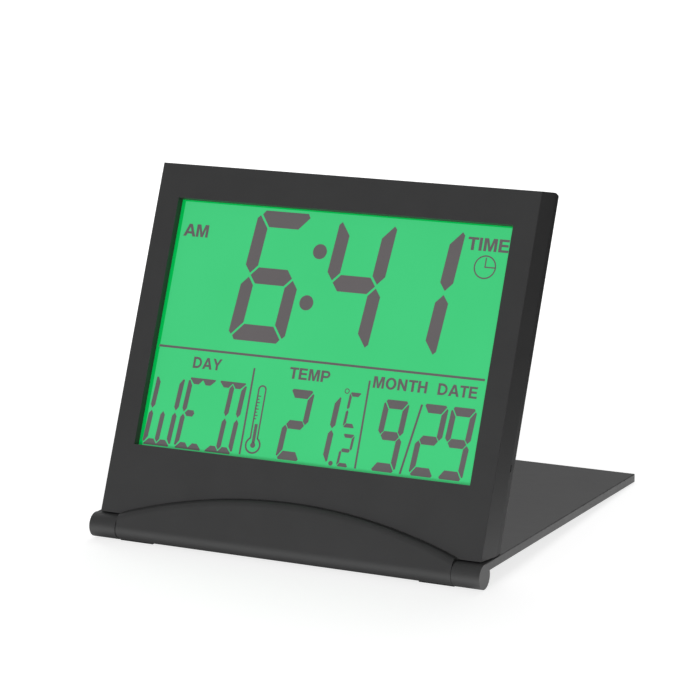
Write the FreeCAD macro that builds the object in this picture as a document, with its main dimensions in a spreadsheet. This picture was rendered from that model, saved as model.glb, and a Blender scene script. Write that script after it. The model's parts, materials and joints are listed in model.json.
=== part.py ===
"""Folding travel clock with a lit liquid crystal display.

World frame: X runs along the hinge, Y towards the back, Z up, millimetres. The origin is the
middle of the footprint on the table. The head leans back on its hinge and the cover lies
behind it as the foot. Two local frames share the hinge axis:
  head frame   y goes back from the hinge axis, z goes up along the face
  cover frame  y goes from the hinge axis to the free edge, z goes up out of the cover
"""
import FreeCAD, Part
import os
import re
import Sketcher

Vector = FreeCAD.Vector

SIZES = {
    # whole clock
    "case_width": 108.0,
    "cover_length": 95.2,
    "head_lean": 24.7,
    # hinge line
    "knuckle_radius": 3.1,
    "knuckle_length": 7.6,
    "knuckle_gap": 0.15,
    "barrel_step": 0.1,
    "web_depth": 1.6,
    "foot_proud": 0.2,
    "foot_length": 9.5,
    "foot_width": 1.6,
    "pin_radius": 1.0,
    "pin_length": 12.0,
    "pin_in_cover": 4.6,
    "pin_clearance": 0.04,
    "pin_end_gap": 0.3,
    # cover
    "cover_thickness": 2.25,
    "cover_edge_round": 0.25,
    "closing_gap": 0.15,
    "rest_gap": 0.25,
    # front shell
    "front_depth": 5.5,
    "side_draft": 1.25,
    "top_draft": 1.1,
    "face_edge_round": 0.25,
    "bezel_wall": 2.3,
    "case_wall": 2.0,
    "floor_wall": 1.0,
    "side_border": 7.35,
    "top_border": 9.9,
    "window_bottom": 21.2,
    "arch_rise": 11.45,
    "arch_step": 0.6,
    "arch_round": 2.2,
    "notch_gap": 0.3,
    # rear shell
    "rear_wall": 1.2,
    "rear_draft": 0.3,
    "rear_round": 3.0,
    "tongue_wall": 0.85,
    "tongue_height": 1.0,
    "fit_gap": 0.15,
    "pry_notch_height": 27.1,
    "pry_notch_length": 1.8,
    "pry_notch_depth": 0.6,
    # case screws
    "screw_inset": 5.2,
    "screw_low": 12.4,
    "screw_drop": 5.3,
    "screw_radius": 0.9,
    "screw_head_radius": 1.75,
    "screw_head_height": 1.0,
    "screw_sunk": 0.5,
    "screw_tip_depth": 3.6,
    "boss_radius": 2.1,
    "boss_gap": 0.1,
    "post_radius": 2.9,
    "post_gap": 0.3,
    "drill_gap": 0.06,
    "counterbore_gap": 0.25,
    # display stack, depths are measured from the face
    "display_beside": 2.35,
    "display_below": 3.8,
    "display_above": 1.3,
    "ledge_height": 2.2,
    "film_inset": 0.6,
    "film_thickness": 0.15,
    "pane_thickness": 0.6,
    "guide_thickness": 1.2,
    "guide_top_gap": 1.8,
    "reflector_thickness": 0.12,
    "stack_gap": 0.03,
    "led_width": 3.0,
    "led_pitch": 30.0,
    "tray_wall": 0.7,
    "tray_gap": 0.2,
    "tray_lip": 2.4,
    "tray_lip_thickness": 0.3,
    "board_gap": 0.1,
    "strip_inset": 5.0,
    "strip_height": 1.5,
    # circuit board
    "board_inset": 8.0,
    "board_low": 10.0,
    "board_thickness": 1.0,
    "board_screw_inset": 11.5,
    "board_screw_height": 13.2,
    "board_screw_radius": 0.8,
    "board_screw_head": 1.5,
    "board_post_radius": 1.7,
    # cell and its door
    "cell_inset": 28.0,
    "cell_drop": 29.0,
    "cell_radius": 10.0,
    "cell_height": 3.2,
    "cap_inset": 1.2,
    "cap_height": 0.3,
    "cell_gap": 0.6,
    "contact_thickness": 0.2,
    "contact_width": 3.0,
    "contact_touch": 0.05,
    "clip_height": 1.3,
    "clip_foot": 2.6,
    "cell_play": 0.7,
    "door_play": 0.15,
    "door_gap": 0.2,
    "door_ring": 1.3,
    "door_skirt": 0.9,
    "lug_reach": 1.3,
    "lug_width": 4.6,
    "lug_play": 0.1,
    "door_turn": 45.0,
    "coin_slot_length": 13.0,
    "coin_slot_width": 1.8,
    "coin_slot_depth": 0.7,
    # push buttons
    "row_drop": 14.0,
    "button_pitch": 15.0,
    "button_side": 4.2,
    "button_half_height": 2.3,
    "button_proud": 0.5,
    "button_gap": 0.15,
    "button_travel": 0.5,
    "flange_reach": 0.7,
    "flange_height": 0.5,
    "flange_play": 0.2,
    "stem_radius": 1.2,
    "dome_radius": 2.2,
    "dome_height": 0.4,
    "dome_play": 0.05,
    "bar_drop": 14.2,
    "bar_across": 0.0,
    "bar_side": 16.0,
    "bar_half_height": 2.6,
    # alarm switch
    "switch_inset": 15.0,
    "switch_travel": 3.0,
    "knob_side": 1.5,
    "knob_half_height": 1.1,
    "knob_proud": 0.3,
    "carriage_overlap": 0.8,
    "carriage_height": 0.6,
    "switch_body_side": 4.4,
    "switch_body_half_height": 1.9,
    "switch_body_height": 1.3,
    # sounder
    "sounder_inset": 28.0,
    "plate_radius": 10.0,
    "plate_thickness": 0.2,
    "ceramic_radius": 7.0,
    "ceramic_thickness": 0.15,
    "ring_width": 1.2,
    "ring_height": 0.4,
    "slot_length": 9.0,
    "slot_width": 1.0,
    "slot_pitch": 2.6,
    # small board parts
    "chip_across": -4.0,
    "chip_drop": 21.0,
    "chip_radius": 5.0,
    "chip_height": 1.1,
    "crystal_radius": 1.0,
    "crystal_length": 6.0,
    "crystal_drop": 12.0,
    "small_part_length": 2.0,
    "small_part_width": 1.25,
    "small_part_height": 0.5,
    "sensor_inset": 16.0,
    "sensor_up": 15.5,
    "sensor_radius": 0.9,
    "seat_gap": 0.02,
}
BUTTONS = ("mode", "set", "up", "down")
LUGS = 3
SOUND_SLOTS = 5

doc = FreeCAD.newDocument("folding_clock")
sheet = doc.addObject("Spreadsheet::Sheet", "sizes")
for row, (alias, size) in enumerate(SIZES.items(), 1):
    sheet.set(f"A{row}", alias)
    sheet.set(f"B{row}", str(size))
    sheet.setAlias(f"B{row}", alias)
doc.recompute()

nodes = []


# ---------------------------------------------------------------- expressions

def cells(text):
    """The expression with each size name written as a cell of the sheet."""
    return re.sub(r"[a-z_]+", lambda m: f"sizes.{m[0]}" if m[0] in SIZES else m[0], text)


def value(text):
    """What an expression of size names comes to, as a number."""
    return float(sheet.evalExpression(text))


def bind(thing, prop, text):
    """Ties one property of an object to an expression of size names."""
    thing.setExpression(prop, cells(text))


FACE = "(cover_thickness + closing_gap - knuckle_radius)"
BARREL = "(knuckle_radius - barrel_step)"
HINGE_HEIGHT = f"({BARREL} + foot_proud)"
COVER_INNER = "(knuckle_radius - cover_thickness)"
FALL = (
    f"((asin({HINGE_HEIGHT} / sqrt(cover_length ^ 2 + {COVER_INNER} ^ 2))"
    f" + atan({COVER_INNER} / cover_length)) / 1 deg)"
)
RISE = f"(head_lean - {FALL})"
HINGE_Y = f"((knuckle_radius * (1 - sin({FALL})) - cover_length * cos({FALL})) / 2)"
HALF = "(case_width / 2)"
HEAD_TOP = "cover_length"
WINDOW_HALF = f"({HALF} - side_border)"
WINDOW_HIGH = f"({HEAD_TOP} - top_border)"
DISPLAY_HALF = f"({WINDOW_HALF} + display_beside)"
DISPLAY_LOW = "(window_bottom - display_below)"
DISPLAY_HIGH = f"({WINDOW_HIGH} + display_above)"
BAR_UP = f"({HEAD_TOP} - bar_drop)"
ROW_UP = f"({BAR_UP} - row_drop)"
CELL_ACROSS = f"({HALF} - cell_inset)"
CELL_UP = f"({ROW_UP} - cell_drop)"
SOUNDER_ACROSS = f"(sounder_inset - {HALF})"
DOOR_RADIUS = "(cell_radius + cell_play + door_ring + door_gap)"
SWITCH_ACROSS = f"({HALF} - switch_inset)"
CHIP_UP = f"({ROW_UP} - chip_drop)"
CRYSTAL_UP = f"({ROW_UP} - crystal_drop)"
BARREL_HALF = f"({HALF} - knuckle_length)"
ARCH_FOOT = f"({BARREL} + arch_step)"
ARCH_SAG = f"(arch_rise - {ARCH_FOOT})"
ARCH_RADIUS = f"(({BARREL_HALF} ^ 2 + {ARCH_SAG} ^ 2) / (2 * {ARCH_SAG}))"


def depth(text):
    """The head frame's y at a depth behind the face."""
    return f"({FACE} + {text})"


def floor_at(y):
    """The height of the head's sloping underside at y, just above the opened cover."""
    return f"((knuckle_radius + rest_gap) / cos({RISE}) + {y} * tan({RISE}))"


STACK_FILM = depth("bezel_wall + stack_gap")
PANE_FRONT = f"({STACK_FILM} + film_thickness + seat_gap)"
PANE_MIDDLE = f"({PANE_FRONT} + pane_thickness + seat_gap)"
PANE_BACK = f"({PANE_MIDDLE} + pane_thickness + seat_gap)"
GUIDE_FRONT = f"({PANE_BACK} + film_thickness + stack_gap)"
GUIDE_BACK = f"({GUIDE_FRONT} + guide_thickness)"
LIP_FRONT = f"({GUIDE_BACK} + reflector_thickness + 2 * stack_gap)"
BOARD_FRONT = f"({LIP_FRONT} + tray_lip_thickness + board_gap)"
BOARD_BACK = f"({BOARD_FRONT} + board_thickness)"
POST_FRONT = f"({BOARD_BACK} + post_gap)"
BOSS_BACK = f"({POST_FRONT} - boss_gap)"
CELL_FRONT = f"({BOARD_FRONT} + contact_touch)"
REAR_INNER = f"({CELL_FRONT} + cell_height + door_play)"
BACK = f"({REAR_INNER} + rear_wall)"
SEAM = depth("front_depth")
CAVITY_SIDE = f"({HALF} - case_wall)"
CAVITY_LOW = f"({floor_at(BACK)} + floor_wall)"
CAVITY_HIGH = f"({HEAD_TOP} - case_wall)"
DOME_TOP = f"({BOARD_BACK} + dome_height)"


# ---------------------------------------------------------------- placing

def place(thing, tilt, x=None, z=None):
    """Turns a piece about the hinge line by tilt, with its own origin at x and z of its frame."""
    thing.Placement = FreeCAD.Placement(Vector(0, 0, 0), FreeCAD.Rotation(Vector(1, 0, 0), -1))
    bind(thing, ".Placement.Rotation.Angle", f"-{tilt}")
    along = "0" if z is None else z
    if x is not None:
        bind(thing, ".Placement.Base.x", x)
    bind(thing, ".Placement.Base.y", f"{HINGE_Y} + {along} * sin({tilt})")
    bind(thing, ".Placement.Base.z", f"{HINGE_HEIGHT} + {along} * cos({tilt})")


def keep(thing, label, tilt="head_lean", x=None, z=None):
    """Names a finished sub-part, places it and marks it for export."""
    thing.Label = label
    place(thing, tilt, x, z)
    nodes.append(thing)
    return thing


# ---------------------------------------------------------------- sketches

def new_body(name):
    return doc.addObject("PartDesign::Body", f"body_{name}")


def new_sketch(body, name, role, offset):
    """A sketch on one of the body's own origin planes, moved along the plane's normal."""
    sketch = body.newObject("Sketcher::SketchObject", f"{name}_sketch")
    plane = [f for f in body.Origin.OriginFeatures if f.Role == role][0]
    sketch.AttachmentSupport = [(plane, "")]
    sketch.MapMode = "FlatFace"
    bind(sketch, ".AttachmentOffset.Base.z", offset)
    return sketch


def pin_point(sketch, geometry, point, across, up):
    """Ties a sketch point to the origin; None puts it on that axis."""
    if across is None and up is None:
        sketch.addConstraint(Sketcher.Constraint("Coincident", geometry, point, -1, 1))
        return
    for kind, text, axis in (("DistanceX", across, -2), ("DistanceY", up, -1)):
        if text is None:
            sketch.addConstraint(Sketcher.Constraint("PointOnObject", geometry, point, axis))
            continue
        tie = Sketcher.Constraint(kind, -1, 1, geometry, point, value(text))
        bind(sketch, f"Constraints[{sketch.addConstraint(tie)}]", text)


def spot(point):
    """A sketch point's place as numbers."""
    return Vector(*[0.0 if text is None else value(text) for text in point], 0)


def polygon(sketch, points, arc_side=None, arc_rise=None, arc_radius=None):
    """A closed outline. The side that starts at point arc_side may be an arc that bulges up."""
    spots = [spot(p) for p in points]
    count = len(points)
    sides = []
    for index in range(count):
        start, end = spots[index], spots[(index + 1) % count]
        if index == arc_side:
            middle = (start + end) * 0.5 + Vector(0, value(arc_rise), 0)
            sides.append(sketch.addGeometry(Part.Arc(start, middle, end)))
        else:
            sides.append(sketch.addGeometry(Part.LineSegment(start, end)))
    starts = [1] * count
    ends = [2] * count
    if arc_side is not None:
        arc = sketch.Geometry[sides[arc_side]]
        if (arc.StartPoint - spots[arc_side]).Length > 0.001:
            starts[arc_side], ends[arc_side] = 2, 1
    for index in range(count):
        after = (index + 1) % count
        join = (sides[index], ends[index], sides[after], starts[after])
        sketch.addConstraint(Sketcher.Constraint("Coincident", *join))
        pin_point(sketch, sides[index], starts[index], *points[index])
    if arc_side is not None:
        size = Sketcher.Constraint("Radius", sides[arc_side], value(arc_radius))
        bind(sketch, f"Constraints[{sketch.addConstraint(size)}]", arc_radius)


def rect(x0, x1, z0, z1):
    """An upright rectangle for a sketch."""
    return lambda sketch: polygon(sketch, [(x0, z0), (x1, z0), (x1, z1), (x0, z1)])


def wide(half, z0, z1):
    """A rectangle centred on the middle plane."""
    return rect(f"-({half})", half, z0, z1)


def disc(x, z, radius):
    """A circle for a sketch."""
    def draw(sketch):
        circle = Part.Circle(spot((x, z)), Vector(0, 0, 1), value(radius))
        index = sketch.addGeometry(circle)
        pin_point(sketch, index, 3, x, z)
        size = Sketcher.Constraint("Radius", index, value(radius))
        bind(sketch, f"Constraints[{sketch.addConstraint(size)}]", radius)
    return draw


def arch(side, low, foot, sag, radius):
    """A flat-bottomed outline whose top is a long arch."""
    points = [(f"-({side})", low), (side, low), (side, foot), (f"-({side})", foot)]
    return lambda sketch: polygon(sketch, points, 2, sag, radius)


def spokes(x, z, inner, outer, width, start):
    """One small rectangle for each door lug, set round a centre from a starting angle."""
    def draw(sketch):
        for index in range(LUGS):
            angle = f"({start} + {360 * index / LUGS})"
            corners = []
            for reach, side in ((inner, -0.5), (outer, -0.5), (outer, 0.5), (inner, 0.5)):
                across = f"{x} + {reach} * cos({angle}) - {side} * {width} * sin({angle})"
                up = f"{z} + {reach} * sin({angle}) + {side} * {width} * cos({angle})"
                corners.append((across, up))
            polygon(sketch, corners)
    return draw


# ---------------------------------------------------------------- features

PLANES = {"x": ("YZ_Plane", "{}"), "y": ("XZ_Plane", "-({})"), "z": ("XY_Plane", "{}")}


def slab(body, name, low, high, *shapes, axis="y"):
    """Pads shapes between two places on an axis."""
    role, offset = PLANES[axis]
    sketch = new_sketch(body, name, role, offset.format(high if axis == "y" else low))
    for draw in shapes:
        draw(sketch)
    feature = body.newObject("PartDesign::Pad", name)
    feature.Profile = sketch
    bind(feature, "Length", f"({high}) - ({low})")
    return feature


def cut(body, name, low, high, *shapes, axis="y"):
    """Pockets shapes between two places on an axis."""
    role, offset = PLANES[axis]
    sketch = new_sketch(body, name, role, offset.format(low if axis == "y" else high))
    for draw in shapes:
        draw(sketch)
    feature = body.newObject("PartDesign::Pocket", name)
    feature.Profile = sketch
    bind(feature, "Length", f"({high}) - ({low})")
    return feature


def drafted(body, name, front, back, low, top_front, top_back, side_front, side_back):
    """A block whose floor, top and sides slope between a front and a back outline."""
    outline = [(front, low(front)), (back, low(back)), (back, top_back), (front, top_front)]
    block_feature = slab(body, name, f"-{HALF}", HALF, lambda sketch: polygon(sketch, outline),
                         axis="x")
    if side_front == side_back:
        return block_feature
    wedges = []
    for sign in ("", "-"):
        corners = [(f"{sign}({side_front})", front), (f"{sign}({side_back})", back),
                   (f"{sign}({HALF} + 5)", back), (f"{sign}({HALF} + 5)", front)]
        wedges.append(lambda sketch, corners=corners: polygon(sketch, corners))
    return cut(body, f"{name}_sides", "-5", f"({HEAD_TOP} + 5)", *wedges, axis="z")


def soften(body, base, name, radius, wanted):
    """Rounds the edges of a feature that a test picks."""
    doc.recompute()
    picked = [f"Edge{i}" for i, edge in enumerate(base.Shape.Edges, 1) if wanted(edge)]
    if not picked:
        raise ValueError(f"{name}: no edge to round")
    feature = body.newObject("PartDesign::Fillet", name)
    feature.Base = (base, picked)
    bind(feature, "Radius", radius)
    return feature


def all_at(edge, axis, place_at, slack=0.01):
    """True where the whole edge lies at one place on an axis."""
    box = edge.BoundBox
    low, high = {"x": (box.XMin, box.XMax), "y": (box.YMin, box.YMax), "z": (box.ZMin, box.ZMax)}[axis]
    return abs(low - place_at) < slack and abs(high - place_at) < slack


# ---------------------------------------------------------------- primitives

def block(name, x0, x1, y0, y1, z0, z1):
    """A Part box between three pairs of places."""
    solid = doc.addObject("Part::Box", name)
    for prop, low, high in (("Length", x0, x1), ("Width", y0, y1), ("Height", z0, z1)):
        bind(solid, prop, f"({high}) - ({low})")
    for prop, low in (("x", x0), ("y", y0), ("z", z0)):
        bind(solid, f".Placement.Base.{prop}", low)
    return solid


TURN = {"x": (Vector(0, 1, 0), 90), "y": (Vector(1, 0, 0), -90)}


def rod(name, axis, radius, length, x, y, z):
    """A Part cylinder along x or y that starts at a point."""
    solid = doc.addObject("Part::Cylinder", name)
    bind(solid, "Radius", radius)
    bind(solid, "Height", length)
    solid.Placement = FreeCAD.Placement(Vector(0, 0, 0), FreeCAD.Rotation(*TURN[axis]))
    for prop, text in (("x", x), ("y", y), ("z", z)):
        bind(solid, f".Placement.Base.{prop}", text)
    return solid


def cone(name, low_radius, high_radius, length, x, y, z):
    """A Part cone along y that starts at a point."""
    solid = doc.addObject("Part::Cone", name)
    bind(solid, "Radius1", low_radius)
    bind(solid, "Radius2", high_radius)
    bind(solid, "Height", length)
    solid.Placement = FreeCAD.Placement(Vector(0, 0, 0), FreeCAD.Rotation(*TURN["y"]))
    for prop, text in (("x", x), ("y", y), ("z", z)):
        bind(solid, f".Placement.Base.{prop}", text)
    return solid


def fuse(name, *parts):
    joined = doc.addObject("Part::MultiFuse", name)
    joined.Shapes = list(parts)
    return joined


def minus(name, base, tool):
    result = doc.addObject("Part::Cut", name)
    result.Base = base
    result.Tool = tool
    return result


def group(name, parts):
    bundle = doc.addObject("Part::Compound", name)
    bundle.Links = list(parts)
    return bundle


# ---------------------------------------------------------------- shells and hinge

CORNERS = [
    (f"{sign}({HALF} - screw_inset)", height)
    for sign in ("-", "")
    for height in ("screw_low", f"({HEAD_TOP} - screw_drop)")
]
BOARD_POSTS = [
    (f"{sign}({HALF} - board_screw_inset)", "board_screw_height")
    for sign in ("-", "")
]


def make_front_bezel():
    """Drafted front shell with the display window, the hinge barrel and the raised arch."""
    body = new_body("front_bezel")
    outline = arch(BARREL_HALF, None, ARCH_FOOT, ARCH_SAG, ARCH_RADIUS)
    flap = slab(body, "arch_flap", f"-{BARREL}", depth("bezel_wall / 2"), outline)
    front = -value(BARREL)
    soften(body, flap, "arch_rim", "arch_round",
           lambda edge: all_at(edge, "y", front) and isinstance(edge.Curve, Part.Circle))
    shell = drafted(body, "bezel_block", FACE, SEAM, floor_at, f"({HEAD_TOP} - top_draft)",
                    HEAD_TOP, f"{HALF} - side_draft", HALF)
    soften(body, shell, "face_edges", "face_edge_round",
           lambda edge: all_at(edge, "y", value(FACE)) and edge.Length > value(HALF)
           and not isinstance(edge.Curve, Part.Circle))
    slab(body, "hinge_barrel", f"-{BARREL_HALF}", BARREL_HALF,
         disc(None, None, BARREL), axis="x")
    web_top = f"({floor_at(FACE)} + floor_wall)"
    slab(body, "barrel_web", depth("bezel_wall / 4"), "web_depth",
         wide(BARREL_HALF, f"-{BARREL} / 3", web_top))
    low, high = depth("bezel_wall"), f"({SEAM} + floor_wall)"
    cut(body, "cavity", low, high, wide(CAVITY_SIDE, CAVITY_LOW, CAVITY_HIGH))
    cut(body, "window", f"({FACE} - floor_wall)", f"({depth('bezel_wall')} + floor_wall)",
        wide(WINDOW_HALF, "window_bottom", WINDOW_HIGH))
    root = depth("bezel_wall / 2")
    slab(body, "screw_bosses", root, BOSS_BACK,
         *[disc(x, z, "boss_radius") for x, z in CORNERS])
    slab(body, "board_posts", root, BOARD_FRONT,
         *[disc(x, z, "board_post_radius") for x, z in BOARD_POSTS])
    cut(body, "screw_pilots", depth("screw_tip_depth - drill_gap"), f"({BOSS_BACK} + 1)",
        *[disc(x, z, "screw_radius + drill_gap") for x, z in CORNERS])
    cut(body, "board_pilots", depth("bezel_wall + 0.5"), f"({BOARD_FRONT} + 1)",
        *[disc(x, z, "board_screw_radius + drill_gap") for x, z in BOARD_POSTS])
    bore = disc(None, None, "pin_radius + pin_clearance")
    reach = "(pin_length - pin_in_cover + pin_end_gap)"
    cut(body, "right_bore", f"{BARREL_HALF} - {reach}", f"{BARREL_HALF} + 1", bore, axis="x")
    cut(body, "left_bore", f"-{BARREL_HALF} - 1", f"{reach} - {BARREL_HALF}", bore, axis="x")
    keep(body, "front_bezel")


def make_rear_case():
    """Rear shell: rounded back, tongue into the front shell, posts, openings and sound slots."""
    body = new_body("rear_case")
    shell = drafted(body, "case_block", SEAM, BACK, floor_at, HEAD_TOP,
                    f"({HEAD_TOP} - rear_draft)", HALF, f"{HALF} - rear_draft")
    soften(body, shell, "back_edges", "rear_round", lambda edge: all_at(edge, "y", value(BACK)))
    inset = "(fit_gap + tongue_wall)"
    inside = wide(f"{CAVITY_SIDE} - {inset}", f"{CAVITY_LOW} + {inset}", f"{CAVITY_HIGH} - {inset}")
    outside = wide(f"{CAVITY_SIDE} - fit_gap", f"{CAVITY_LOW} + fit_gap", f"{CAVITY_HIGH} - fit_gap")
    slab(body, "tongue", f"{SEAM} - tongue_height", f"{SEAM} + rear_wall / 2", outside)
    cut(body, "hollow", f"{SEAM} - tongue_height - 1", REAR_INNER, inside)
    slab(body, "screw_posts", POST_FRONT, f"({REAR_INNER} + rear_wall / 2)",
         *[disc(x, z, "post_radius") for x, z in CORNERS])
    cut(body, "screw_holes", f"({POST_FRONT} - 1)", f"({BACK} + 1)",
        *[disc(x, z, "screw_radius + drill_gap") for x, z in CORNERS])
    cut(body, "counterbores", f"({BACK} - screw_sunk - screw_head_height)", f"({BACK} + 1)",
        *[disc(x, z, "screw_head_radius + counterbore_gap") for x, z in CORNERS])
    cut(body, "door_opening", REAR_INNER + " - 1", f"({BACK} + 1)",
        disc(CELL_ACROSS, CELL_UP, f"{DOOR_RADIUS} + door_gap"))
    slot_reach = f"({DOOR_RADIUS} + lug_reach + door_gap)"
    cut(body, "lug_slots", REAR_INNER + " - 1", f"({BACK} + 1)",
        spokes(CELL_ACROSS, CELL_UP, f"({DOOR_RADIUS} - 1)", slot_reach,
               "(lug_width + 2 * door_gap)", "(90 - door_turn)"))
    holes = [
        rect(f"{x} - {side} - button_gap", f"{x} + {side} + button_gap",
             f"{z} - {tall} - button_gap", f"{z} + {tall} + button_gap")
        for _, x, z, side, tall in BUTTON_PLACES
    ]
    cut(body, "button_holes", REAR_INNER + " - 1", f"({BACK} + 1)", *holes)
    run = "(switch_travel / 2 + knob_side + button_gap)"
    cut(body, "switch_slot", REAR_INNER + " - 1", f"({BACK} + 1)",
        rect(f"{SWITCH_ACROSS} - {run}", f"{SWITCH_ACROSS} + {run}",
             f"{ROW_UP} - knob_half_height - button_gap", f"{ROW_UP} + knob_half_height + button_gap"))
    cut(body, "sound_slots", REAR_INNER + " - 1", f"({BACK} + 1)", *SOUND_HOLES)
    slab(body, "sounder_ring", f"({REAR_INNER} - ring_height)", f"({REAR_INNER} + rear_wall / 2)",
         disc(SOUNDER_ACROSS, CELL_UP, "plate_radius + ring_width / 2"),
         disc(SOUNDER_ACROSS, CELL_UP, "plate_radius - ring_width / 2"))
    cut(body, "pry_notch", f"({SEAM} - 1)", f"({SEAM} + pry_notch_depth)",
        rect(f"{HALF} - pry_notch_depth", f"{HALF} + 1",
             "pry_notch_height - pry_notch_length / 2", "pry_notch_height + pry_notch_length / 2"))
    keep(body, "rear_case")


def make_foot_pads():
    """Two rubber pads under the barrel, flat below and curved to the barrel above."""
    seat = rod("foot_seat", "x", f"{BARREL} + seat_gap", "case_width", f"-{HALF}", "0", "0")
    pads = []
    for name, start in (("left", f"-{BARREL_HALF}"), ("right", f"{BARREL_HALF} - foot_length")):
        strip = block(f"foot_block_{name}", start, f"{start} + foot_length", "-foot_width / 2",
                      "foot_width / 2", f"-{HINGE_HEIGHT}", f"-{BARREL} / 2")
        pads.append(minus(f"foot_pad_{name}", strip, seat))
    keep(group("foot_pair", pads), "foot_pads", "0")


def make_hinge_pins():
    """Steel pins that stand in the barrel's ends and carry the cover's knuckles."""
    start = f"({BARREL_HALF} + pin_in_cover - pin_length)"
    right = rod("pin_right", "x", "pin_radius", "pin_length", start, "0", "0")
    keep(group("pin_right_group", [right]), "hinge_pin_right")
    left = rod("pin_left", "x", "pin_radius", "pin_length", f"-{BARREL_HALF} - pin_in_cover", "0", "0")
    keep(group("pin_left_group", [left]), "hinge_pin_left")


def make_cover():
    """The cover that folds behind as the foot: plate, two knuckles and the arched notch."""
    body = new_body("cover")
    plate = slab(body, "cover_plate", COVER_INNER, "knuckle_radius",
                 wide(HALF, None, "cover_length"), axis="z")
    corner = value("cover_length")
    soften(body, plate, "cover_edges", "cover_edge_round",
           lambda edge: all_at(edge, "y", corner) or edge.BoundBox.YLength > corner - 1)
    knuckle = disc(None, None, "knuckle_radius")
    inner = f"({BARREL_HALF} + knuckle_gap)"
    slab(body, "right_knuckle", inner, HALF, knuckle, axis="x")
    slab(body, "left_knuckle", f"-{HALF}", f"-{inner}", knuckle, axis="x")
    notch = arch(inner, "-knuckle_radius - 1", f"{ARCH_FOOT} + notch_gap", ARCH_SAG,
                 f"(({inner} ^ 2 + {ARCH_SAG} ^ 2) / (2 * {ARCH_SAG}))")
    cut(body, "arch_notch", f"{COVER_INNER} - 5", "knuckle_radius + 1", notch, axis="z")
    bore = disc(None, None, "pin_radius + pin_clearance")
    end = f"({BARREL_HALF} + pin_in_cover + pin_end_gap)"
    cut(body, "right_socket", f"{inner} - 1", end, bore, axis="x")
    cut(body, "left_socket", f"-{end}", f"1 - {inner}", bore, axis="x")
    keep(body, "cover", FALL)


# ---------------------------------------------------------------- display

def make_layer(label, low, high, side, bottom, top):
    """One flat rectangular layer of the display stack."""
    body = new_body(label)
    slab(body, f"{label}_sheet", low, high, wide(side, bottom, top))
    keep(body, label)


def make_display():
    """Films, glass panes, light guide and reflector, front to back."""
    film_low = f"{DISPLAY_LOW} + ledge_height + film_inset"
    film_high = f"{DISPLAY_HIGH} - film_inset"
    film_side = f"{DISPLAY_HALF} - film_inset"
    pane_low = f"{DISPLAY_LOW} + ledge_height"
    make_layer("front_polariser", STACK_FILM, f"({STACK_FILM} + film_thickness)", film_side,
               film_low, film_high)
    make_layer("display_front_glass", PANE_FRONT, f"({PANE_FRONT} + pane_thickness)",
               DISPLAY_HALF, DISPLAY_LOW, DISPLAY_HIGH)
    make_layer("display_rear_glass", PANE_MIDDLE, f"({PANE_MIDDLE} + pane_thickness)",
               DISPLAY_HALF, pane_low, DISPLAY_HIGH)
    make_layer("rear_polariser", PANE_BACK, f"({PANE_BACK} + film_thickness)", film_side,
               film_low, film_high)
    guide_top = f"{DISPLAY_HIGH} - guide_top_gap"
    make_layer("light_guide", GUIDE_FRONT, GUIDE_BACK, DISPLAY_HALF, pane_low, guide_top)
    reflector = f"({GUIDE_BACK} + stack_gap)"
    make_layer("backlight_reflector", reflector, f"({reflector} + reflector_thickness)",
               DISPLAY_HALF, pane_low, guide_top)
    make_layer("contact_strip", PANE_MIDDLE, f"{BOARD_FRONT} - seat_gap", f"{DISPLAY_HALF} - strip_inset",
               f"{DISPLAY_LOW} + (ledge_height - strip_height) / 2",
               f"{DISPLAY_LOW} + (ledge_height + strip_height) / 2")
    lamps = []
    for index in (-1, 0, 1):
        middle = f"({index} * led_pitch)"
        lamps.append(block(f"lamp_{index + 1}", f"{middle} - led_width / 2",
                           f"{middle} + led_width / 2", GUIDE_FRONT, GUIDE_BACK,
                           f"{guide_top} + stack_gap", DISPLAY_HIGH))
    keep(group("lamp_row", lamps), "backlight_lamps")


def make_tray():
    """The white frame that holds the display stack against the front shell."""
    body = new_body("display_tray")
    outer = "(tray_gap + tray_wall)"
    slab(body, "tray_walls", depth("bezel_wall + stack_gap"), f"({LIP_FRONT} + tray_lip_thickness)",
         wide(f"{DISPLAY_HALF} + {outer}", f"{DISPLAY_LOW} - {outer}", f"{DISPLAY_HIGH} + {outer}"),
         wide(f"{DISPLAY_HALF} + tray_gap", f"{DISPLAY_LOW} - tray_gap", f"{DISPLAY_HIGH} + tray_gap"))
    slab(body, "tray_lip_ring", LIP_FRONT, f"({LIP_FRONT} + tray_lip_thickness)",
         wide(f"{DISPLAY_HALF} + {outer}", f"{DISPLAY_LOW} - {outer}", f"{DISPLAY_HIGH} + {outer}"),
         wide(f"{DISPLAY_HALF} - tray_lip", f"{DISPLAY_LOW} - tray_gap / 2", f"{DISPLAY_HIGH} - tray_lip"))
    keep(body, "display_tray")


# ---------------------------------------------------------------- board

def make_board():
    """Circuit board with the hole that the cell sits in."""
    body = new_body("circuit_board")
    slab(body, "board_sheet", BOARD_FRONT, BOARD_BACK,
         wide(f"{HALF} - board_inset", "board_low", DISPLAY_HIGH),
         disc(CELL_ACROSS, CELL_UP, "cell_radius + cell_gap"))
    cut(body, "board_holes", f"({BOARD_FRONT} - 1)", f"({BOARD_BACK} + 1)",
        *[disc(x, z, "board_screw_radius + drill_gap") for x, z in BOARD_POSTS])
    keep(body, "circuit_board")


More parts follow.
